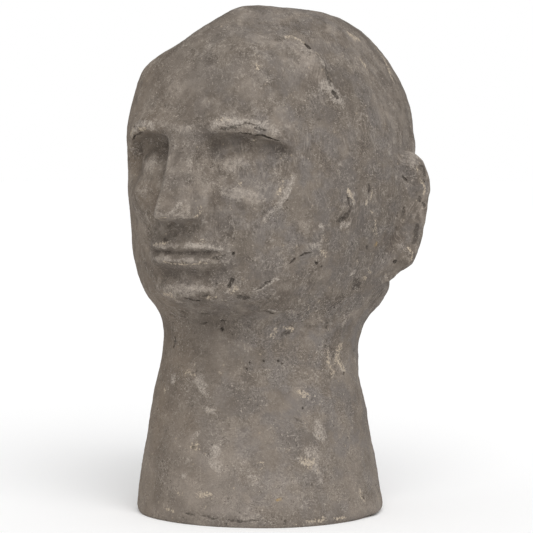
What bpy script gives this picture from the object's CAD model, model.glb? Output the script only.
import math
import random

import bmesh
import bpy
import numpy as np
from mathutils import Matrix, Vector, kdtree, noise
from mathutils.bvhtree import BVHTree


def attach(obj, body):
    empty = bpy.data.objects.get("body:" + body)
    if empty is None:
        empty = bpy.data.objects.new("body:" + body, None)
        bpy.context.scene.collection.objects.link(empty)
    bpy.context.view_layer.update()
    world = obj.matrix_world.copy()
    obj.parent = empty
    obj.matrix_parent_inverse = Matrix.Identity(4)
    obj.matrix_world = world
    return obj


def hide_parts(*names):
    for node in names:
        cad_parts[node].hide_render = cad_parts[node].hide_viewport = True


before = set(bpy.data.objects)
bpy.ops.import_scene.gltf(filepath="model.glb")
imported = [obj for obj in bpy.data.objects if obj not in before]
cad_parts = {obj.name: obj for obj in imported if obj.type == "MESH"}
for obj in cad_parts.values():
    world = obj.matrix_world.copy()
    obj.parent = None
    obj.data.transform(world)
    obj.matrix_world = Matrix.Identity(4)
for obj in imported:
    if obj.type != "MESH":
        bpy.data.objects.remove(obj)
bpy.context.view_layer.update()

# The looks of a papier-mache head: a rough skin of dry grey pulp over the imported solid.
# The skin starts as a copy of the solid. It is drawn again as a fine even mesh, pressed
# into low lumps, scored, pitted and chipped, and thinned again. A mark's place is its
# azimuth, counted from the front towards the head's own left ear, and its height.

MM = 0.001

# The photograph: its side in pixels, the size of a pixel at the head, and the pixel
# column and row on which the middle of the foot stands.
PHOTO_SIDE = 533
PIXEL = 0.655 * MM
FOOT_COLUMN = 260
TABLE_ROW = 509
CAMERA_TURN = math.radians(29)
CAMERA_DISTANCE = 1.7
CAMERA_HEIGHT = 0.262
SENSOR = 36

# The light: how strong the white room is, and the lamp's power, spread, height above the
# horizon and turn from the front towards the left ear. The floor reaches out of sight.
ROOM_LIGHT = 0.6
LAMP_POWER = 2.2
LAMP_SPREAD = math.radians(50)
LAMP_HEIGHT = math.radians(42)
LAMP_TURN = math.radians(40)
FLOOR_RADIUS = 8.0

# The head as packed. Chin to crown is three and a half thirds. The foot's face is below
# its top. Strokes of the hand start at the skull's middle, seen from above. Marks are
# aimed at from outside the whole head.
CHIN = 137 * MM
THIRD = 55.1 * MM
FOOT_TOP = 8 * MM
SKULL_MIDDLE = (0.0, 5 * MM)
OUTSIDE = 300 * MM

# The skin. A mark with more soot than DARK_FROM is a dark one, about which the mesh is
# finer. The strewn marks are drawn from one fixed number.
MESH_STEP = 0.9 * MM
MOST_TRIANGLES = 194000
DARK_FROM = 0.5
STREWING_SEED = 20

# Kinds of mark. Depth is how far the middle sinks in millimetres, soft how gently the
# edge ends, ragged how much the outline wanders, and the rest how strongly each finish
# shows in the middle or, with rim_ before it, along the rim. The finishes come from the
# marks, and the states from the shape and the place of each point.
KINDS = {
    "slot": dict(depth=2.4, soft=0.2, ragged=0.15, soot=1.0),
    "pit": dict(depth=1.6, soft=0.3, ragged=0.3, soot=0.9, rim_chalk=0.5),
    "pinhole": dict(depth=0.9, soft=0.45, ragged=0.4, soot=0.58),
    "crack": dict(depth=0.8, soft=0.5, ragged=0.9, taper=0.7, soot=0.62, rim_chalk=0.3),
    "seam": dict(depth=0.4, soft=0.6, ragged=0.9, taper=0.7, soot=0.56, damp=0.5),
    "gouge": dict(depth=1.6, soft=0.5, ragged=0.8, taper=0.7, soot=0.7, damp=0.7, rim_chalk=0.3),
    "flake": dict(depth=0.5, soft=0.4, ragged=0.9, taper=0.3, soot=0.6, damp=0.6),
    "chip": dict(depth=0.3, soft=0.3, ragged=0.9, taper=0.4, straw=0.95),
    "bloom": dict(soft=0.7, ragged=0.7, chalk=1.0),
    "haze": dict(soft=0.9, ragged=0.4, chalk=0.75),
    "peel": dict(depth=-0.35, soft=0.25, ragged=0.8, taper=0.5, chalk=1.0, rim_soot=0.3),
    "straw": dict(soft=0.6, ragged=0.8, straw=0.95),
    "rust": dict(soft=0.3, ragged=0.1, rust=1.0),
    "cloud": dict(soft=0.8, ragged=0.6, damp=0.6),
    "shade": dict(soft=0.9, ragged=0.3, damp=0.65),
    "stain": dict(soft=0.8, ragged=0.5, damp=1.0),
    "dust": dict(soft=0.9, ragged=0.5, dusty=1.0),
    "smooth": dict(soft=0.9, ragged=0.3, smooth=1.0),
    "raw": dict(soft=0.9, ragged=0.3, raw=1.0),
    "dent": dict(depth=1.1, soft=0.8, ragged=0.1, damp=0.25),
    "trough": dict(depth=1.8, soft=0.9, ragged=0.2),
    "hollow": dict(depth=1.0, soft=0.9, ragged=0.0),
    "notch": dict(depth=4.0, soft=0.9, ragged=0.0),
    "ridge": dict(depth=-1.5, soft=0.9, ragged=0.2),
    "rise": dict(depth=-0.9, soft=0.9, ragged=0.0),
    "swelling": dict(depth=-1.8, soft=0.9, ragged=0.0),
    "fullness": dict(depth=-3.0, soft=0.9, ragged=0.0),
}
FINISHES = ("chalk", "straw", "rust", "soot", "damp", "dusty", "smooth", "raw")
STATES = ("rubbed", "sunken", "cool", "warm", "mottled")

# Kind, width in millimetres, and the azimuth in degrees and height in millimetres of
# each point of the line along which the mark runs. A spot has one point.
MARKS = [
    # The skull: an arc where two sheets of pulp meet, a slot in it and a pit at its end.
    ("ridge", 7, (36, 310), (44, 309), (50, 306), (55, 299), (59, 291), (60, 281), (62, 272)),
    ("trough", 9, (58, 306), (63, 299), (66, 290), (67, 280), (70, 268), (74, 258)),
    ("shade", 18, (66, 298), (70, 280), (73, 262), (76, 240)),
    ("stain", 9, (60.5, 294), (61.5, 286), (62.5, 279)),
    ("dust", 20, (36, 307), (46, 304), (52, 297)),
    ("dust", 10, (50, 298), (54, 290), (57, 282)),
    ("dust", 13, (24, 288), (26, 277)),
    ("crack", 1.3, (47, 309.5), (50, 308)),
    ("straw", 2.6, (43, 307), (47, 308), (50, 306), (53, 303.5)),
    ("slot", 3.6, (53.9, 302.9), (54.8, 301.2)),
    ("peel", 4, (59, 294.5), (60.5, 290)),
    ("dent", 5, (63, 293), (62, 286), (62, 280)),
    ("cloud", 4, (62, 290), (62, 281)),
    ("flake", 3.4, (60.7, 289), (61.3, 284), (61.7, 279)),
    ("stain", 5, (60.7, 291), (61.2, 284), (61.6, 279)),
    ("bloom", 10, (58, 278), (62, 276), (67, 269)),
    ("bloom", 6, (62, 271), (65, 267)),
    ("pit", 3.4, (62.8, 273.4), (64.8, 271.4)),
    ("cloud", 4, (69, 268), (72, 261)),
    ("straw", 5, (95, 295), (97, 290)),
    ("straw", 4, (130, 302), (127, 293), (123, 283)),
    ("straw", 6, (102, 311), (112, 308)),
    ("cloud", 5, (80, 304), (86, 299)),
    ("straw", 3.0, (130, 260), (129, 246)),
    ("straw", 3.0, (28, 290), (28, 287)),
    ("straw", 1.8, (27, 297)),
    ("straw", 2.2, (58.5, 299), (60, 296)),
    ("shade", 24, (-6, 312), (-10, 305), (-15, 294), (-18, 282)),
    ("shade", 22, (55, 265), (66, 258)),
    ("shade", 13, (24, 291), (25, 286)),
    # The side of the face.
    ("shade", 60, (72, 215), (88, 190), (80, 165)),
    ("gouge", 3.6, (63, 192.5), (66.5, 194.5)),
    ("crack", 1.6, (66, 195), (69, 199), (70.5, 203)),
    ("cloud", 8, (63, 194), (69, 198)),
    ("flake", 4.5, (65, 195), (68, 196)),
    ("crack", 1.6, (67.5, 209), (69, 202)),
    ("peel", 3.4, (67, 213), (69.5, 209), (71, 203)),
    ("straw", 3.0, (67.5, 212), (69.5, 208), (70.5, 205)),
    ("peel", 2.2, (70, 212), (71, 208)),
    ("bloom", 5, (65, 190), (69, 191)),
    ("flake", 2.6, (79, 216), (79, 210)),
    ("peel", 2.8, (78, 208), (78, 203)),
    ("straw", 2.6, (78, 207), (78, 204)),
    ("straw", 1.6, (81, 214), (80, 206)),
    ("crack", 1.6, (99, 197), (99, 194)),
    ("straw", 1.4, (85, 193), (88, 183)),
    ("rust", 2.2, (89, 178)),
    ("bloom", 4, (55, 191), (57, 186)),
    ("straw", 2.0, (57, 184), (58, 180)),
    ("straw", 1.6, (92, 214), (95, 216)),
    ("shade", 26, (80, 206), (94, 198)),
    # The brow, the nose, the cheeks and the lips, worn pale along their edges, with dirt
    # in the hollows below them.
    ("gouge", 1.8, (15, 246.5), (22, 248), (30, 246.5), (37, 243)),
    ("cloud", 7, (12, 244), (22, 245), (32, 242), (41, 237)),
    ("gouge", 1.8, (-15, 246.5), (-22, 248), (-30, 246.5), (-37, 243)),
    ("cloud", 7, (-12, 244), (-22, 245), (-32, 242), (-41, 237)),
    ("cloud", 3, (-17, 174.5), (-8, 173.5), (0, 173.8), (8, 173.5), (16, 174.5)),
    ("cloud", 5, (-8, 190), (0, 190.5), (8, 190)),
    ("cloud", 6, (-13, 163), (0, 161), (13, 163)),
    ("bloom", 8, (13, 254), (20, 256), (28, 254), (35, 250)),
    ("straw", 2.2, (14, 257), (18, 257.5)),
    ("flake", 2.4, (15, 251), (20, 252)),
    ("crack", 1.4, (20, 253.5), (24, 254.5), (28, 253.5)),
    ("flake", 2.2, (27, 252), (31, 250)),
    ("peel", 2.0, (23, 257), (28, 256)),
    ("bloom", 6, (-14, 253), (-24, 254), (-33, 250)),
    ("straw", 3.0, (-30, 251), (-38, 247)),
    ("chip", 2.4, (-18, 251), (-24, 251)),
    ("crack", 1.4, (-27, 253), (-31, 252)),
    ("bloom", 4, (0, 199), (3, 206)),
    ("straw", 2.4, (7, 197), (8, 203)),
    ("chip", 2.0, (-5, 196), (-2, 196)),
    ("bloom", 5, (43, 222), (40, 212), (36, 203), (31, 195)),
    ("straw", 2.6, (38, 219), (36, 211)),
    ("peel", 2.2, (41, 212), (37, 204)),
    ("bloom", 4, (2, 179), (9, 179), (15, 176)),
    ("straw", 2.0, (-13, 178), (-6, 180)),
    ("flake", 2.0, (12, 171), (16, 173)),
    ("chip", 2.4, (-8, 168), (2, 167), (9, 168)),
    ("pit", 2.0, (19, 174)),
    # The jaw.
    ("shade", 34, (60, 176), (80, 150), (96, 150)),
    ("shade", 36, (24, 157), (42, 158), (60, 163)),
    ("shade", 18, (46, 160), (60, 158)),
    ("shade", 16, (46, 150), (60, 147)),
    ("shade", 9, (6, 138), (18, 138)),
    ("shade", 9, (22, 139), (27, 139)),
    ("stain", 8, (54, 154), (61, 154)),
    ("crack", 1.7, (41, 167), (44, 171)),
    ("crack", 1.5, (46, 172), (48, 173.5), (51, 174)),
    ("chip", 4.5, (56, 175), (58, 171)),
    ("bloom", 5, (51, 178), (55, 177)),
    ("pit", 2.2, (54, 167)),
    ("pinhole", 1.6, (57, 165)),
    ("crack", 2.0, (28, 151), (31, 154), (34, 156.5)),
    ("cloud", 8, (30, 151), (38, 153)),
    ("bloom", 4, (27, 150), (36, 158)),
    ("flake", 5.5, (21, 146), (23.5, 146)),
    ("pit", 2.4, (16.5, 153.5), (18, 157)),
    ("straw", 1.8, (17, 149), (20, 152), (22, 158)),
    ("gouge", 2.2, (-3, 146), (0, 144), (5, 143.5)),
    ("crack", 1.6, (5.5, 146.5), (9, 147)),
    ("chip", 3.0, (7, 145), (11, 146)),
    ("straw", 4.5, (-16, 146), (-9, 147)),
    ("peel", 2.8, (77, 161), (75, 158)),
    ("straw", 1.8, (78, 168), (78, 165)),
    ("chip", 2.6, (88, 160), (91, 158)),
    ("chip", 2.6, (85, 156), (87, 155)),
    ("flake", 8, (79, 153), (83, 151)),
    ("bloom", 3.0, (79, 150), (83, 149)),
    ("straw", 2.4, (59, 142)),
    ("straw", 2.2, (54, 140), (54, 137)),
    # The rim of the left ear.
    ("chip", 2.4, (105, 229), (106, 226)),
    ("bloom", 2.4, (104.8, 228), (105, 226)),
    ("chip", 2.4, (105.2, 219), (106.4, 213), (106.4, 208)),
    ("chip", 2.2, (104.5, 226), (104.5, 221)),
    ("flake", 4.6, (105.8, 225), (106.3, 221)),
    ("cloud", 6.0, (104, 217), (105, 211)),
    ("flake", 2.4, (106.2, 217), (106.4, 215)),
    ("flake", 3.4, (105.5, 206), (105.7, 204)),
    ("flake", 3.6, (106.5, 203), (106.9, 201)),
    ("cloud", 6, (104, 210), (103.5, 202)),
    ("flake", 2.0, (102.5, 200), (102, 195)),
    ("flake", 4.0, (105, 188), (104.8, 183), (104.2, 178)),
    ("chip", 2.2, (102.8, 174), (103.8, 170), (103.8, 166)),
    ("shade", 18, (103, 196), (104, 188)),
    ("shade", 9, (79, 237), (84, 233)),
    ("stain", 6, (104.3, 204), (104.8, 194)),
    ("shade", 16, (96, 177), (99, 168)),
    ("haze", 6, (101, 176), (102.5, 170)),
    ("stain", 2.2, (102, 172), (103.5, 168)),
    ("pit", 2.6, (99.5, 165)),
    ("crack", 1.1, (101, 221), (103, 216)),
    # Under the chin and down the neck.
    ("shade", 22, (-14, 128), (0, 128), (18, 131)),
    ("shade", 16, (50, 141), (70, 146)),
    ("cloud", 5, (-7, 133), (-2, 134), (3, 134)),
    ("crack", 1.2, (-5, 133.5), (0, 134)),
    ("stain", 6, (-15, 128), (-5, 127), (4, 127), (10, 128), (17, 131), (24, 136)),
    ("shade", 15, (-9, 109), (1, 107), (21, 104)),
    ("shade", 12, (16, 88), (20, 84)),
    ("stain", 7, (20, 95), (26, 91)),
    ("shade", 20, (42, 111), (56, 103)),
    ("shade", 10, (60, 63), (65, 60)),
    ("crack", 1.2, (-9, 126), (-4, 127)),
    ("crack", 1.2, (5, 129), (9, 129)),
    ("shade", 12, (-18, 130), (-6, 128), (6, 128)),
    ("crack", 1.8, (31, 137), (34, 135.5), (37, 135)),
    ("peel", 2.2, (33, 138), (40, 136)),
    ("pit", 2.3, (5, 123)),
    ("flake", 3.4, (-33, 115), (-33, 111)),
    ("flake", 3.4, (42.5, 120.5), (46.5, 122)),
    ("chip", 2.4, (43, 125), (49, 125.5)),
    ("straw", 3.6, (36, 120), (38, 124)),
    ("straw", 2.0, (47, 123), (49, 126)),
    ("pinhole", 1.4, (40, 103.5)),
    ("pinhole", 1.5, (42, 102.5)),
    ("pinhole", 1.5, (21, 99)),
    ("pinhole", 1.4, (23, 103)),
    ("pinhole", 1.4, (31, 104)),
    ("straw", 3.8, (74, 110), (74, 102), (76, 95)),
    ("straw", 5.5, (86, 111), (82.5, 106), (82.5, 101)),
    ("straw", 5.0, (82.5, 101), (85, 98), (87, 96)),
    ("bloom", 4.5, (84, 97), (88, 95)),
    ("crack", 1.8, (87, 94), (84, 93)),
    ("cloud", 7, (71, 104), (70, 90)),
    ("bloom", 2.4, (62, 95), (64, 92)),
    ("bloom", 4, (85, 131), (84, 126)),
    ("bloom", 3.0, (103, 101), (106, 99)),
    ("straw", 4, (51, 84), (55, 82)),
    ("bloom", 7, (-8, 91), (-4, 86)),
    ("bloom", 5, (-27, 92), (-28, 88)),
    ("bloom", 4, (-29, 91)),
    ("straw", 2.6, (-19, 95), (-12, 94)),
    ("bloom", 5, (-1, 73), (4, 72)),
    ("bloom", 3.5, (11, 75)),
    ("cloud", 15, (20, 79), (27, 76)),
    ("cloud", 15, (-28, 88), (-26, 82)),
    ("cloud", 14, (80, 72), (96, 76)),
    ("bloom", 10, (60, 64), (62, 56)),
    ("pinhole", 1.5, (52, 74)),
    ("cloud", 5, (50, 134), (56, 131)),
    ("bloom", 3, (44, 137), (47, 134)),
    ("flake", 2.2, (70, 127), (71, 124)),
    # The foot.
    ("shade", 13, (44, 56), (60, 54)),
    ("shade", 12, (-18, 41), (-6, 38)),
    ("shade", 9, (-3, 51), (3, 47)),
    ("bloom", 11, (7, 48), (8, 38)),
    ("cloud", 9, (27, 43), (29, 40)),
    ("dust", 22, (30, 38), (22, 29), (17, 20)),
    ("shade", 13, (34, 6), (50, 6), (68, 6)),
    ("shade", 15, (-26, 44), (-25, 30), (-28, 12)),
    ("shade", 11, (-8, 8), (-16, 16)),
    ("shade", 9, (-20, 5), (-6, 4)),
    ("shade", 10, (93, 14), (99, 12)),
    ("shade", 14, (57, 26), (60, 12)),
    ("straw", 2.8, (43, 49)),
    ("straw", 5.5, (50, 42), (54, 40)),
    ("straw", 4.0, (53, 37), (56, 41)),
    ("bloom", 11, (54, 46), (57, 44)),
    ("bloom", 6, (50, 41), (57, 38)),
    ("bloom", 4, (58, 36), (59, 32)),
    ("bloom", 2.0, (45, 43), (50, 43)),
    ("cloud", 8, (50, 48), (46, 45)),
    ("bloom", 2.0, (18, 60)),
    ("bloom", 2.4, (-18, 51), (-14, 48)),
    ("straw", 5, (-6, 49), (-4, 49)),
    ("flake", 2.2, (-6, 49), (-4, 49)),
    ("bloom", 5, (-8, 40)),
    ("bloom", 4, (-13, 42)),
    ("bloom", 5, (-9, 31)),
    ("bloom", 6, (59, 31), (60, 27)),
    ("haze", 15, (20, 39), (27, 29)),
    ("cloud", 14, (-33, 38), (-28, 30)),
    ("rust", 1.8, (37, 18)),
    ("straw", 1.8, (15.5, 23.5), (18, 25)),
    ("straw", 2.2, (-13, 19.5), (-11, 18.5)),
    ("straw", 4.0, (0, 19), (5, 20)),
    ("straw", 2.4, (-27, 11)),
    ("straw", 2.4, (3, 12)),
    ("straw", 2.8, (59, 5.5)),
    ("straw", 4.5, (86, 18), (88, 12)),
    ("pinhole", 2.0, (89, 13)),
    ("seam", 1.6, (0, 6.5), (10, 5)),
    ("seam", 1.8, (12, 4.8), (20, 4.2), (28, 5.2)),
    ("seam", 1.5, (-9, 7), (-2, 6.5)),
    ("cloud", 6, (-10, 7), (0, 6), (14, 5), (30, 3.5)),
    ("chip", 1.8, (-22, 8), (-14, 7)),
    ("chip", 2.4, (50, 3.5), (61, 3.5)),
    ("chip", 2.0, (65, 4), (73, 3.5)),
    # Where the pulp was stroked smoother with wet fingers, and where it was left rawer.
    ("smooth", 20, (0, 280), (20, 277)),
    ("smooth", 14, (44, 277)),
    ("smooth", 14, (58, 257)),
    ("smooth", 18, (43, 217), (57, 217), (57, 199)),
    ("smooth", 16, (50, 224), (54, 212)),
    ("smooth", 13, (30, 158)),
    ("smooth", 14, (13, 76)),
    ("smooth", 14, (47, 76)),
    ("smooth", 16, (-3, 55)),
    ("smooth", 16, (30, 58), (30, 37)),
    ("smooth", 15, (87, 32)),
    ("raw", 20, (47, 136), (66, 135), (85, 134)),
    ("raw", 14, (80, 154)),
    ("raw", 18, (72, 114), (70, 94)),
    ("raw", 18, (-26, 54), (-28, 32)),
    ("raw", 13, (15, 17)),
    ("raw", 14, (-26, 134), (-5, 136)),
    # How far the left ear's rim, the nape and the back of the neck stand out or lie in.
    ("swelling", 14, (103, 167), (105, 177)),
    ("swelling", 17, (106.5, 217), (105, 228), (103.5, 234)),
    ("swelling", 12, (104.5, 229), (105.5, 226)),
    ("swelling", 44, (125, 234), (127, 252)),
    ("swelling", 13, (125, 237)),
    ("fullness", 22, (115, 139), (125, 140)),
    ("swelling", 12, (105, 149.5), (115, 148.5)),
    ("swelling", 18, (125, 241), (131, 236)),
    ("rise", 12, (105, 227), (107, 214)),
    ("rise", 7, (102.8, 163), (103, 161)),
    ("rise", 10, (102, 151), (110, 151)),
    ("hollow", 13, (104.5, 184), (104.5, 178)),
    ("trough", 22, (106, 86), (120, 85)),
    ("hollow", 28, (106, 122), (120, 118)),
    ("rise", 26, (106, 60), (120, 60)),
    ("notch", 10, (98.5, 154.5), (101, 156.5), (102.3, 159.5)),
    # The foot's left corner, and the right side of the neck and the foot.
    ("swelling", 16, (98, 3), (114, 3)),
    ("rise", 12, (76, 3), (96, 3)),
    ("swelling", 30, (-52, 23), (-68, 23)),
    ("hollow", 30, (-58, 112), (-58, 84)),
]

# Marks strewn over the whole head: kind, how many, and the range of their width in mm.
STREWN = [
    ("pit", 9, 1.8, 2.8),
    ("pinhole", 55, 1.3, 1.9),
    ("straw", 150, 1.4, 3.6),
    ("bloom", 190, 2.0, 9.0),
    ("cloud", 170, 5.0, 18.0),
    ("flake", 34, 2.0, 5.0),
    ("chip", 40, 1.6, 4.0),
    ("peel", 30, 1.6, 3.6),
    ("crack", 28, 1.4, 1.9),
    ("rust", 6, 1.4, 2.0),
]

# Patterns in the pulp: the size of one lump in millimetres, its detail, roughness and warp,
# and how far it is moved, so that no two fall together. Real fibres and grain are 0.1 to
# 0.5 mm across, too fine to show, and are drawn 1 to 4 mm across.
PATTERNS = {
    "fine grain": (0.95, 3, 0.65, 0.0, 0.0),
    "grain": (2.2, 4, 0.7, 0.8, 0.0),
    "flakes": (2.8, 5, 0.75, 0.5, 0.9),
    "crumbs": (1.5, 2, 0.6, 0.2, 4.3),
    "pale fibres": (4.4, 2, 0.6, 1.1, 2.1),
    "dark fibres": (4.0, 2, 0.6, 1.1, 3.7),
    "strokes": (1.0, 2, 0.6, 0.3, 0.0),
    "rough places": (17, 3, 0.6, 0.4, 0.7),
    "stroked places": (23, 2, 0.5, 0.4, 1.9),
    "broad clouds": (42, 3, 0.55, 0.0, 0.0),
    "dark clouds": (17, 5, 0.55, 0.0, 0.0),
    "pale clouds": (13, 4, 0.55, 0.0, 2.9),
    "cool patches": (14, 4, 0.55, 0.0, 0.0),
    "dusty patches": (24, 3, 0.55, 0.0, 0.0),
    "damp patches": (9, 5, 0.6, 0.0, 0.3),
    "chalky patches": (12, 5, 0.6, 0.0, 1.3),
}
FIBRE_HALF_WIDTH = 0.020

# Specks, one in each cell for a portion of the cells: the cells' spacing in millimetres,
# the speck's radius as a share of it, the portion, and how far the cells are moved.
SPECKS = {"straw specks": (7, 0.12, 0.40, 0.11), "pinholes": (6, 0.11, 0.30, 0.37)}

# Patches with edges that finer patterns eat into: what is added up and how much each part
# counts, the sum at which the patch starts, the sum at which it is full, and the most that
# it covers.
BROKEN = {
    "damp patches": ({"damp patches": 1.0, "grain": 0.5}, 0.74, 0.94, 0.60),
    "chalky patches": ({"chalky patches": 1.0, "flakes": 1.4}, 1.26, 1.62, 0.50),
    "chalk": ({"chalk": 1.0, "flakes": 1.9, "fine grain": 1.9}, 2.35, 3.35, 0.85),
    "rubbed": ({"rubbed": 1.0, "flakes": 3.0}, 1.95, 2.85, 0.60),
    "straw": ({"straw": 1.0, "crumbs": 2.6, "fine grain": 2.6}, 3.05, 3.95, 0.95),
    "soot": ({"soot": 1.0, "grain": 1.5}, 0.95, 1.50, 0.85),
}

# Coats of colour over the bare pulp, in the order that they are laid: the tone, and each
# way in which it is laid. A way names a value, the bounds between which the coat grows,
# the least and the most that it covers, and the values that thin it.
BARE_PULP = "#7F756B"
COATS = [
    # Broad clouds between a warm and a plain grey-brown, then darker and paler clouds.
    ("#6C635A", dict(by="broad clouds", low=0.38, high=0.62)),
    ("#5A5149", dict(by="dark clouds", low=0.44, high=0.62, most=0.75, thinned=["mottled"])),
    ("#948A7F", dict(by="pale clouds", low=0.50, high=0.66, most=0.55, thinned=["mottled"])),
    # Cooler grey, most of it on the left side, and a warmer brown on the right side.
    ("#6E6864", dict(by="cool patches", low=0.40, high=0.62, most=0.90, thinned=["cool"])),
    ("#77695A", dict(by="warm", most=0.55)),
    # Pale dust low on the neck, damp brown clouds and a chalky bloom.
    (
        "#A0958A",
        dict(by="dusty patches", low=0.3, high=0.6, least=0.1, most=0.35, thinned=["dusty"]),
    ),
    ("#4D453E", dict(by="damp patches", thinned=["mottled"]), dict(by="damp", most=0.60)),
    ("#ACA399", dict(by="chalky patches", thinned=["mottled"]), dict(by="chalk")),
    # Dirt in the hollows, worn ridges, and the marks.
    ("#433B35", dict(by="sunken", most=0.55)),
    ("#A89E93", dict(by="rubbed")),
    ("#B3A592", dict(by="straw")),
    ("#AD9D88", dict(by="straw specks", most=0.35)),
    ("#A68A58", dict(by="rust", most=0.70)),
    ("#38322D", dict(by="soot")),
    ("#3B352F", dict(by="pinholes", most=0.55)),
    # Strokes left by the hand, and fibres lying every way.
    ("#9F958A", dict(by="strokes", low=0.52, high=0.66, thinned=["stroked"])),
    ("#544C46", dict(by="strokes", low=0.48, high=0.34, thinned=["stroked"])),
    ("#ABA297", dict(by="pale fibres", most=0.60, thinned=["rough"])),
    ("#463F39", dict(by="dark fibres", most=0.70, thinned=["rough"])),
    # The grain of the pulp: dark gaps and pale ends.
    ("#4B453E", dict(by="fine grain", low=0.47, high=0.28, most=0.21, thinned=["roughened"])),
    ("#B4ABA0", dict(by="fine grain", low=0.54, high=0.74, most=0.17, thinned=["roughened"])),
    ("#504942", dict(by="grain", low=0.46, high=0.30, most=0.30, thinned=["roughened"])),
    ("#AEA599", dict(by="grain", low=0.56, high=0.76, most=0.23, thinned=["roughened"])),
    # The holes that crumbs left, and crumbs that stand out.
    ("#3D3732", dict(by="crumbs", low=0.36, high=0.30, most=0.65, thinned=["rough"])),
    ("#B5ABA0", dict(by="crumbs", low=0.65, high=0.71, most=0.50, thinned=["rough"])),
]

# How much each value lifts the pulp's fine relief, and how high that is.
RELIEF = {"fine grain": 0.6, "grain": 1.0, "crumbs": 0.8, "holes": -0.6}
RELIEF_HEIGHT = 0.7 * MM


def linear(hex_colour):
    """A colour's linear red, green, blue and alpha from its sRGB hex value."""
    parts = [int(hex_colour[i : i + 2], 16) / 255 for i in (1, 3, 5)]
    curve = [p / 12.92 if p <= 0.04045 else ((p + 0.055) / 1.055) ** 2.4 for p in parts]
    return (*curve, 1.0)


def ramp(value, start, end):
    """0 before start and 1 after end, with a smooth climb between."""
    share = np.clip((value - start) / (end - start), 0.0, 1.0)
    return share * share * (3.0 - 2.0 * share)


def band(value, middle, half_width):
    """A soft strip of height 1 about the middle."""
    return np.exp(-(((value - middle) / half_width) ** 2))


def lumps(points, spacing, shift=0.0):
    """Smooth lumps from -1 to 1 at each point, about as far apart as the spacing. Each set
    of lumps has its own shift, so that no two sets are alike."""
    return np.array([noise.noise(p) for p in (points / spacing + shift).tolist()])


def read(collection, name, width=3):
    """One property of all the items of a mesh, a row for each."""
    flat = np.empty(len(collection) * width, np.float32)
    collection.foreach_get(name, flat)
    return flat.reshape(-1, width).astype(float)


def places(mesh):
    """Where each point of a mesh is."""
    return read(mesh.vertices, "co")


def outward(mesh):
    """Which way the surface faces at each point."""
    return read(mesh.vertex_normals, "vector")


def move(mesh, points):
    """Puts the points of a mesh where the rows say."""
    mesh.vertices.foreach_set("co", points.astype(np.float32).ravel())
    mesh.update()


def finished(piece):
    """Gives a piece the mesh that its modifiers make, and takes them off."""
    seen = piece.evaluated_get(bpy.context.evaluated_depsgraph_get())
    made = bpy.data.meshes.new_from_object(seen)
    old = piece.data
    piece.modifiers.clear()
    piece.data = made
    bpy.data.meshes.remove(old)


def even_copy(node, name):
    """A copy of a node, merged, drawn again with even steps and its facets softened."""
    mesh = bpy.data.meshes.new(name)
    bm = bmesh.new()
    bm.from_mesh(node.data)
    bmesh.ops.remove_doubles(bm, verts=bm.verts, dist=0.001 * MM)
    bm.to_mesh(mesh)
    bm.free()
    piece = bpy.data.objects.new(name, mesh)
    bpy.context.scene.collection.objects.link(piece)
    even = piece.modifiers.new("even steps", "REMESH")
    even.mode = "VOXEL"
    even.voxel_size = MESH_STEP
    soften = piece.modifiers.new("soften the facets", "SMOOTH")
    soften.factor = 0.5
    soften.iterations = 8
    finished(piece)
    return piece


def found_marks(mesh):
    """Every mark's kind, width and strength, and the points of its line on the surface."""
    skin = BVHTree.FromPolygons(
        [v.co for v in mesh.vertices], [p.vertices for p in mesh.polygons]
    )
    found = []
    for kind, width, *line in MARKS:
        spots = []
        for azimuth, height in line:
            turn = math.radians(azimuth)
            out = Vector((math.sin(turn), -math.cos(turn), 0.0))
            start = OUTSIDE * out + Vector((0.0, 0.0, height * MM))
            spots.append(skin.ray_cast(start, -out)[:2])
        found.append((kind, width, 1.0, spots))
    draw = random.Random(STREWING_SEED)
    for kind, number, least, most in STREWN:
        for _ in range(number):
            face = mesh.polygons[draw.randrange(len(mesh.polygons))]
            width = least + (most - least) * draw.random() ** 2
            normal = face.normal.copy()
            way = normal.cross(Vector([draw.uniform(-1, 1) for _ in range(3)]))
            length = draw.uniform(1, 4 if kind == "crack" else 1.5) * width * MM
            strength = draw.uniform(0.3, 0.9)
            spots = [(face.center + far * way, normal) for far in (0.0, length)]
            found.append((kind, width, strength, spots))
    return found


def off_line(points, line):
    """How far each point is from a line on the surface, and the share of it passed there.
    The first 4 mm of depth count little, so that a sunken point still belongs to it."""
    least, passed = np.full(len(points), np.inf), np.zeros(len(points))
    pieces = list(zip(line, line[1:] or line))
    for number, ((start, start_normal), (end, end_normal)) in enumerate(pieces):
        along, normal = np.array(end - start), np.array(start_normal + end_normal)
        normal = normal / np.linalg.norm(normal)
        off = points - np.array(start)
        depth = np.clip(off @ normal, -4 * MM, 4 * MM)
        off = off - 0.8 * depth[:, None] * normal
        share = np.clip(off @ along / max(along @ along, 1e-12), 0.0, 1.0)
        far = np.linalg.norm(off - share[:, None] * along, axis=1)
        passed = np.where(far < least, (number + share) / len(pieces), passed)
        least = np.minimum(least, far)
    return least, passed


def sorted_by_place(points):
    """The points in a tree that finds those near a place fast."""
    near = kdtree.KDTree(len(points))
    for row, point in enumerate(points):
        near.insert(point, row)
    near.balance()
    return near


def rows_about(near, line, width):
    """The rows of the points that a mark may reach."""
    middle = sum((place for place, _ in line), Vector()) / len(line)
    reach = max((place - middle).length for place, _ in line) + 1.3 * width * MM
    return np.array([row for _, row, _ in near.find_range(middle, reach)], int)


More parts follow.
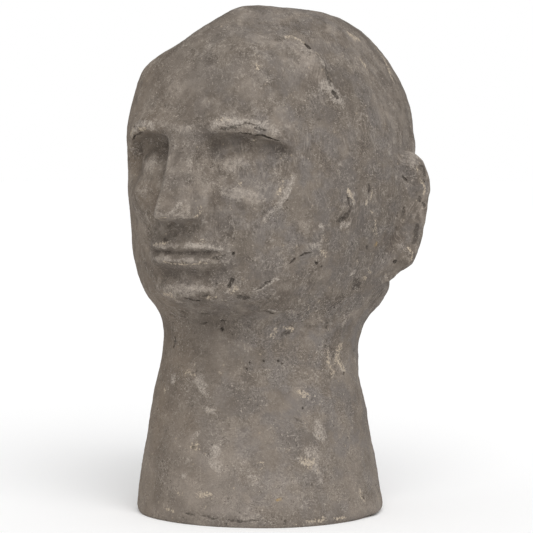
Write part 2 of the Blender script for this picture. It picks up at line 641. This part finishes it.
def refine(mesh, marks):
    """Halves the step of the mesh about the small dark marks, so that they come out crisp."""
    points = places(mesh)
    near = sorted_by_place(points)
    close = np.zeros(len(points), bool)
    for kind, width, _, line in marks:
        rows = rows_about(near, line, width)
        if KINDS[kind].get("soot", 0.0) > DARK_FROM and len(rows):
            far, _ = off_line(points[rows], line)
            close[rows[far < (0.7 * width + 0.6) * MM]] = True
    bm = bmesh.new()
    bm.from_mesh(mesh)
    chosen = [e for e in bm.edges if close[e.verts[0].index] and close[e.verts[1].index]]
    bmesh.ops.subdivide_edges(bm, edges=chosen, cuts=1, use_grid_fill=True)
    bm.to_mesh(mesh)
    bm.free()


def press_marks(points, marks):
    """How far each point is pressed in and raised, in mm, and how strongly finishes show."""
    near = sorted_by_place(points)
    coarse, fine = lumps(points, 4.0 * MM, 7.0), lumps(points, 1.9 * MM, 8.0)
    bend = np.column_stack([lumps(points, 4.5 * MM, shift) for shift in (50, 53, 57)])
    wavy = points + 0.9 * MM * bend
    fields = {name: np.zeros(len(points)) for name in ("pressed", "raised", *FINISHES)}
    for kind, width, strength, line in marks:
        make = KINDS[kind]
        rows = rows_about(near, line, width)
        if not len(rows):
            continue
        # Marks under 4 mm wide have a finer outline.
        wander = 0.4 * coarse[rows] + 0.9 * fine[rows] if width < 4 else coarse[rows]
        far, passed = off_line(wavy[rows], line)
        taper = 1.0 - make.get("taper", 0.0) * np.abs(2.0 * passed - 1.0) ** 1.5
        out = far / (taper * width * MM / 2) + make["ragged"] * wander
        inside = strength * ramp(out, 1.0 + make["soft"], 1.0 - make["soft"])
        rim = strength * band(out, 1.5, 0.35)
        deep = make.get("depth", 0.0) * inside
        fields["pressed"][rows] = np.maximum(fields["pressed"][rows], deep)
        fields["raised"][rows] -= np.minimum(deep, 0.0)
        for name in FINISHES:
            shown = np.maximum(make.get(name, 0) * inside, make.get("rim_" + name, 0) * rim)
            fields[name][rows] = np.maximum(fields[name][rows], shown)
    return fields


def face_touches(points):
    """The last touches to the plain face: lids, nostrils, lip line, in mm of depth."""
    u = np.abs(points[:, 0]) / THIRD
    v = (points[:, 2] - CHIN) / THIRD
    front = ramp(-points[:, 1], 55 * MM, 66 * MM)
    out = np.clip(u / 1.15, 0.0, 1.0)
    below_brow = 1.97 + 0.10 * np.sin(math.pi * out) - 0.13 * out**2 - v
    under_brow = 0.9 * band(below_brow, 0.06, 0.035) * ramp(u, 0.2, 0.3) * ramp(u, 1.0, 0.8)
    eye = np.hypot((u - 0.60) / 0.31, (v - 1.685) / 0.155)
    lid = 0.55 * band(eye, 1.0, 0.13) - 0.35 * ramp(eye, 0.95, 0.5)
    lip_line = 1.3 * band(v, 0.667 + 0.02 * (u / 0.5) ** 2, 0.02) * ramp(u, 0.52, 0.40)
    philtrum = 0.35 * band(u, 0.0, 0.06) * ramp(v, 0.78, 0.84) * ramp(v, 1.0, 0.94)
    nostril = 1.2 * band(np.hypot((u - 0.14) / 0.06, (v - 1.005) / 0.05), 0.0, 1.0)
    wing = 0.5 * band(u, 0.36, 0.03) * ramp(v, 1.0, 1.06) * ramp(v, 1.28, 1.16)
    return front * (under_brow + lid + lip_line + philtrum + nostril + wing)


def spread(mesh, values, passes):
    """Evens values out over the mesh by taking the mean of each point's neighbours."""
    pairs = np.empty(len(mesh.edges) * 2, np.int32)
    mesh.edges.foreach_get("vertices", pairs)
    a, b = pairs.reshape(-1, 2).T
    number = len(mesh.vertices)
    count = np.bincount(a, minlength=number) + np.bincount(b, minlength=number)
    for _ in range(passes):
        total = np.bincount(a, values[b], number) + np.bincount(b, values[a], number)
        values = 0.5 * values + 0.5 * total / np.maximum(count, 1)
    return values


def combed(points):
    """Places for strokes: down from the crown on the skull, waves everywhere below. They
    are drawn out along the way in which a hand moved."""
    off = points[:, :2] - SKULL_MIDDLE
    far = np.hypot(*off.T)
    bend = [lumps(points, 26 * MM, shift) for shift in (31.0, 37.0, 41.0)]
    falls = np.column_stack([75 * MM * off / far[:, None], 0.1 * points[:, 2]])
    falls[:, :2] += 9 * MM * np.column_stack(bend[:2])
    waves = (points + 11 * MM * np.column_stack(bend)) * [0.45, 1.0, 1.0]
    waves = waves @ np.array([[0.8, 0.6, 0.0], [-0.6, 0.8, 0.0], [0.0, 0.0, 1.0]])
    waves[:, 0] *= 0.12
    level = points[:, 2] + 0.8 * points[:, 0] + 20 * MM * bend[0]
    share = ramp(level, 150 * MM, 185 * MM) * ramp(far, 22 * MM, 40 * MM)
    return falls * share[:, None] + waves * (1.0 - share)[:, None]


def work_surface(piece):
    """Presses lumps, strokes, the face's last touches and every mark into the skin, and
    thins its mesh, most of all where no mark is."""
    mesh = piece.data
    marks = found_marks(mesh)
    refine(mesh, marks)
    points, normals = places(mesh), outward(mesh)
    hand = 1.0 * lumps(points, 34 * MM) + 0.35 * lumps(points, 15 * MM, 3.0)
    pulp = 0.20 * lumps(points, 7 * MM, 5.0) + 0.16 * lumps(points, 3.2 * MM, 9.0)
    strokes = 0.09 * lumps(combed(points), 2.4 * MM, 13.0)
    fields = press_marks(points, marks)
    fields["pressed"] += face_touches(points)
    above_foot = ramp(points[:, 2], 0.3 * MM, 3.0 * MM)
    height = (hand + pulp + strokes + fields["raised"] - fields["pressed"]) * above_foot
    moved = points + height[:, None] * MM * normals
    under = (normals[:, 2] < -0.7) & (points[:, 2] < FOOT_TOP)
    moved[under, 2] = 0.0
    move(mesh, moved)
    marked = spread(mesh, np.clip(fields["pressed"] + fields["soot"], 0.0, 1.0), 3)
    plain = piece.vertex_groups.new(name="plain")
    for level in range(5):
        rows = np.flatnonzero(np.round(4 * (1.0 - marked)) == level)
        plain.add(rows.tolist(), 0.15 + 0.85 * level / 4, "REPLACE")
    thin = piece.modifiers.new("thin the mesh", "DECIMATE")
    thin.vertex_group = plain.name
    triangles = sum(len(p.vertices) - 2 for p in mesh.polygons)
    thin.ratio = min(1.0, MOST_TRIANGLES / triangles)
    thin.use_collapse_triangulate = True
    finished(piece)
    piece.vertex_groups.clear()
    return marks


def colour_attributes(piece, marks):
    """Writes each finish on the points, how rubbed, sunken, cool, warm, mottled and dusty
    they are, and their places along the strokes."""
    mesh = piece.data
    points, normals = places(mesh), outward(mesh)
    fields = press_marks(points, marks)
    del fields["pressed"], fields["raised"]
    evened = np.column_stack([spread(mesh, points[:, i], 26) for i in range(3)])
    stands_out = np.einsum("ij,ij->i", points - evened, normals) / MM
    fields["rubbed"] = ramp(stands_out, 0.25, 1.1) * ramp(points[:, 2], 4 * MM, 12 * MM)
    fields["sunken"] = ramp(-stands_out, 0.15, 1.0)
    # How far a point lies towards the left and the right side, each taken 15 degrees
    # forward, as a share of its way out. The crown is evened out.
    far = np.maximum(np.hypot(points[:, 0], points[:, 1]), 50 * MM)
    bend = 0.24 * lumps(points, 22 * MM, 21.0)
    left, right = [(s * 0.966 * points[:, 0] - 0.259 * points[:, 1]) / far for s in (1, -1)]
    level = points[:, 2] + 12 * MM * lumps(points, 27 * MM, 27.0)
    top = ramp(level, 235 * MM, 275 * MM)
    behind = ramp(points[:, 1], -8 * MM, 30 * MM) * ramp(level, 222 * MM, 248 * MM)
    fields["cool"] = ramp(left + bend, -0.2, 0.95) * (1.0 - 0.3 * top) * (1.0 - 0.6 * behind)
    fields["warm"] = ramp(right + bend, 0.26, 0.85)
    fields["mottled"] = 0.45 + 0.55 * ramp(level, 92 * MM, 135 * MM)
    fields["mottled"] *= 1.0 - 0.5 * fields["smooth"] + 0.3 * fields["raw"]
    low = ramp(level, 78 * MM, 30 * MM) * (1.0 - 0.4 * ramp(left + bend, 0.85, 0.98))
    fields["dusty"] = np.maximum(low, fields["dusty"])
    for name, values in fields.items():
        layer = mesh.attributes.new(name, "FLOAT", "POINT")
        layer.data.foreach_set("value", values.astype(np.float32))
    layer = mesh.attributes.new("combed", "FLOAT_VECTOR", "POINT")
    layer.data.foreach_set("vector", combed(points).astype(np.float32).ravel())


def add_node(tree, kind, inputs, **settings):
    """Adds a node with its settings. An input is a value or another node's output."""
    made = tree.nodes.new("ShaderNode" + kind)
    for name, value in settings.items():
        setattr(made, name, value)
    for socket, value in inputs.items():
        if isinstance(value, bpy.types.NodeSocket):
            tree.links.new(value, made.inputs[socket])
        else:
            made.inputs[socket].default_value = value
    return made.outputs


def pressed_paper_pulp():
    """Papier-mache: newsprint pulp with glue, pressed by hand and left raw. It is grey-brown
    and dead matt, with fibre ends, dark pinholes and a rubbed, chalky bloom on it."""
    material = bpy.data.materials.new("pressed_paper_pulp")
    material.use_nodes = True
    tree = material.node_tree
    shader = tree.nodes["Principled BSDF"]
    place = add_node(tree, "TexCoord", {})["Object"]
    combed_place = add_node(tree, "Attribute", {}, attribute_name="combed")["Vector"]
    values = {
        name: add_node(tree, "Attribute", {}, attribute_name=name)["Fac"]
        for name in (*FINISHES, *STATES)
    }

    def share(by, low=None, high=None, least=0.0, most=1.0, thinned=()):
        """How much one way covers. Without bounds it follows its value in proportion."""
        shown, factors = values[by], [values[name] for name in thinned]
        if low is None:
            factors.append(most)
        else:
            sockets = {0: shown, 1: low, 2: high, 3: least, 4: most}
            shown = add_node(tree, "MapRange", sockets, interpolation_type="SMOOTHSTEP")[0]
        for factor in factors:
            shown = add_node(tree, "Math", {0: shown, 1: factor}, operation="MULTIPLY")[0]
        return shown

    def covered(*ways):
        """How much is covered where several ways meet: as much as the fullest one covers."""
        fullest, *others = [share(**way) for way in ways]
        for other in others:
            fullest = add_node(tree, "Math", {0: fullest, 1: other}, operation="MAXIMUM")[0]
        return fullest

    def added_up(parts):
        """The sum of some values, each counted so many times."""
        total = 0.0
        for name, times in parts.items():
            sockets = {0: values[name], 1: times, 2: total}
            total = add_node(tree, "Math", sockets, operation="MULTIPLY_ADD")[0]
        return total

    for name, (size_mm, detail, rough, warp, moved_by) in PATTERNS.items():
        start = combed_place if name == "strokes" else place
        moved = add_node(tree, "Mapping", {"Vector": start, "Location": (moved_by,) * 3})[0]
        sockets = {"Vector": moved, "Scale": 1 / (size_mm * MM), "Detail": detail}
        sockets.update({"Roughness": rough, "Distortion": warp})
        values[name] = add_node(tree, "TexNoise", sockets)["Fac"]

    # Fibres run where a pattern passes through its middle value.
    for name in ("pale fibres", "dark fibres"):
        off = add_node(tree, "Math", {0: values[name], 1: 0.5}, operation="SUBTRACT")[0]
        values[name] = add_node(tree, "Math", {0: off}, operation="ABSOLUTE")[0]
        values[name] = share(name, FIBRE_HALF_WIDTH, 0.0)

    for name, (spacing_mm, radius, portion, moved_by) in SPECKS.items():
        moved = add_node(tree, "Mapping", {"Vector": place, "Location": (moved_by,) * 3})[0]
        cells = add_node(tree, "TexVoronoi", {"Vector": moved, "Scale": 1 / (spacing_mm * MM)})
        values["cell"], values["from its middle"] = cells["Color"], cells["Distance"]
        values["chosen"] = share("cell", 1 - portion, 1.02 - portion)
        values[name] = share("from its middle", radius, 0.6 * radius, thinned=["chosen"])

    for name, (parts, low, high, most) in BROKEN.items():
        values[name + " summed"] = added_up(parts)
        values[name] = share(name + " summed", low, high, most=most)

    # Where the grain is weaker or stronger, and where strokes, fibres and holes show.
    values["smoothed"] = share("smooth", 0.0, 1.0, 1.0, 0.45)
    values["roughened"] = added_up({"smoothed": 1.0, "raw": 0.5})
    values["stroked"] = share("stroked places", 0.42, 0.62, 0.06, 0.42, ["smoothed", "cool"])
    values["rough"] = covered(
        dict(by="rough places", low=0.38, high=0.60, least=0.12, thinned=["roughened"]),
        dict(by="raw", most=0.6, thinned=["roughened"]),
    )
    values["holes"] = covered(dict(by="pinholes"), dict(by="soot"))

    colour = linear(BARE_PULP)
    for tone, *ways in COATS:
        sockets = {0: covered(*ways), 6: colour, 7: linear(tone)}
        colour = add_node(tree, "Mix", sockets, data_type="RGBA")[2]
    tree.links.new(colour, shader.inputs["Base Color"])
    tree.links.new(share("grain", 0.3, 0.7, 0.82, 0.97), shader.inputs["Roughness"])
    shader.inputs["IOR"].default_value = 1.45
    shader.inputs["Specular IOR Level"].default_value = 0.3
    bump = {"Strength": 0.8, "Distance": RELIEF_HEIGHT, "Height": added_up(RELIEF)}
    tree.links.new(add_node(tree, "Bump", bump)[0], shader.inputs["Normal"])
    return material


def matt_white_paint():
    """A white studio floor: flat emulsion paint, with no gloss."""
    material = bpy.data.materials.new("matt_white_paint")
    material.use_nodes = True
    shader = material.node_tree.nodes["Principled BSDF"]
    shader.inputs["Base Color"].default_value = linear("#FDFDFD")
    shader.inputs["Roughness"].default_value = 0.9
    return material


def make_floor():
    """A wide pale floor, which is no part of the object."""
    mesh = bpy.data.meshes.new("studio_floor")
    bm = bmesh.new()
    bmesh.ops.create_circle(bm, cap_ends=True, segments=64, radius=FLOOR_RADIUS)
    bm.to_mesh(mesh)
    bm.free()
    floor = bpy.data.objects.new("studio_floor", mesh)
    bpy.context.scene.collection.objects.link(floor)
    mesh.materials.append(matt_white_paint())


def make_lights():
    """A white room, and one wide soft lamp high in front, turned towards the left ear."""
    world = bpy.data.worlds.new("white room")
    world.use_nodes = True
    tree = world.node_tree
    room = tree.nodes["Background"]
    room.inputs["Color"].default_value = (1, 1, 1, 1)
    room.inputs["Strength"].default_value = ROOM_LIGHT
    white = add_node(tree, "Background", {"Color": (1, 1, 1, 1), "Strength": 1.0})[0]
    seen = add_node(tree, "LightPath", {})["Is Camera Ray"]
    mixed = add_node(tree, "MixShader", {0: seen, 1: room.outputs[0], 2: white})[0]
    tree.links.new(mixed, tree.nodes["World Output"].inputs["Surface"])
    bpy.context.scene.world = world
    lamp = bpy.data.lights.new("front lamp", "SUN")
    lamp.energy = LAMP_POWER
    lamp.angle = LAMP_SPREAD
    holder = bpy.data.objects.new("front lamp", lamp)
    holder.rotation_euler = (math.radians(90) - LAMP_HEIGHT, 0.0, LAMP_TURN)
    bpy.context.scene.collection.objects.link(holder)


def make_camera():
    """A camera aimed so that the head stands as it does in the photograph."""
    row = math.atan2((TABLE_ROW - PHOTO_SIDE / 2) * PIXEL, CAMERA_DISTANCE)
    column = math.atan2((FOOT_COLUMN - PHOTO_SIDE / 2) * PIXEL, CAMERA_DISTANCE)
    down = math.atan2(CAMERA_HEIGHT, CAMERA_DISTANCE) - row
    camera = bpy.data.cameras.new("camera")
    camera.sensor_width = SENSOR
    camera.lens = SENSOR * CAMERA_DISTANCE / (PHOTO_SIDE * PIXEL)
    holder = bpy.data.objects.new("camera", camera)
    across, back = math.sin(CAMERA_TURN), math.cos(CAMERA_TURN)
    holder.location = (across * CAMERA_DISTANCE, -back * CAMERA_DISTANCE, CAMERA_HEIGHT)
    holder.rotation_euler = (math.radians(90) - down, 0.0, CAMERA_TURN + column)
    bpy.context.scene.collection.objects.link(holder)
    bpy.context.scene.camera = holder


def make_skin():
    """The pulp skin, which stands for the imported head."""
    skin = even_copy(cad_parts["papier_mache_head"], "pulp_skin")
    marks = work_surface(skin)
    colour_attributes(skin, marks)
    skin.data.shade_smooth()
    skin.data.materials.clear()
    skin.data.materials.append(pressed_paper_pulp())
    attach(skin, "root")
    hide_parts("papier_mache_head")


make_camera()
make_lights()
make_floor()
make_skin()
bpy.context.scene.view_settings.view_transform = "Standard"
